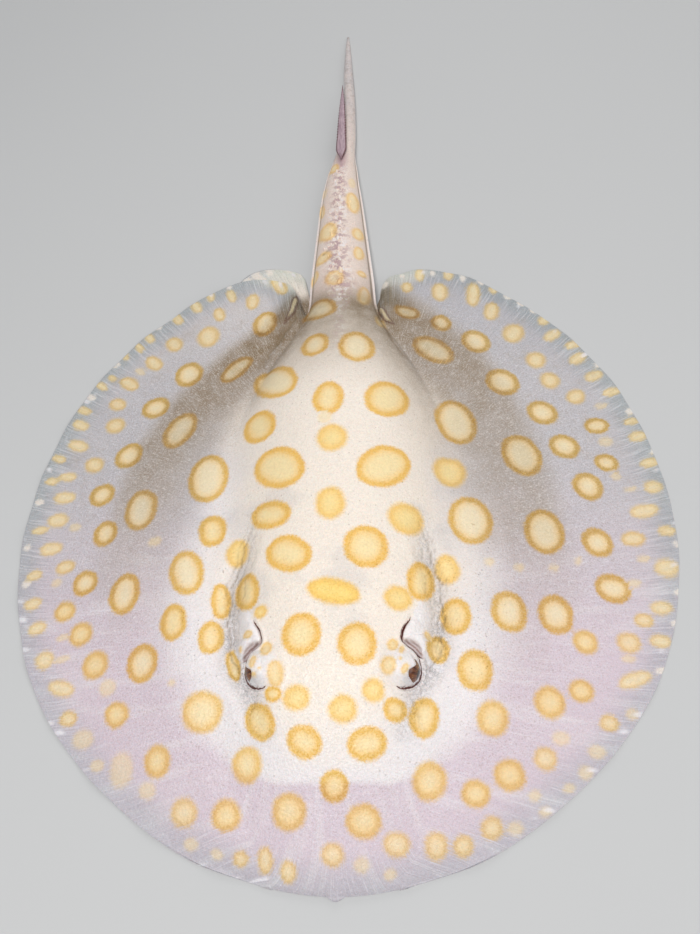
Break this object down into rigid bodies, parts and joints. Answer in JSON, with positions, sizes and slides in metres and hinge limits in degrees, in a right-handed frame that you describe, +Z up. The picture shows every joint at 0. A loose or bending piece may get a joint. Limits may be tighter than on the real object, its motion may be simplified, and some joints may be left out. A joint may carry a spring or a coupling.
{
  "type": "freshwater stingray, life-size model",
  "caption": "Pale, ring-spotted freshwater stingray lying flat: a round disc with raised eyes and spiracles, a short thick tail and a toothed sting.",
  "frame": {"origin": "on the floor, under the middle of the belly, on the body's midline", "axes": "+X towards the animal's left side, +Y from the belly towards the tail, +Z up; the head looks along -Y"},
  "size_m": [0.2551, 0.4463, 0.034],
  "materials": {
    "skin": "moist skin, satin, cream white with ochre-gold rings and spots",
    "fin": "moist skin, satin, lilac grey with ochre-gold rings and a bluish margin",
    "tail": "rough moist skin, pinkish cream with small rings",
    "horn": "bone-like dentine, greyish mauve",
    "eye": "wet, reddish brown"
  },
  "bodies": {
    "root": {"head": "skin", "trunk": "skin", "pectoral_fin_left": "fin", "pectoral_fin_right": "fin", "pelvic_fin_left": "fin", "pelvic_fin_right": "fin", "tail_base": "tail", "tail_middle": "tail", "tail_tip": "tail", "sting": "horn", "eye_left": "eye", "eye_right": "eye"}
  },
  "joints": []
}
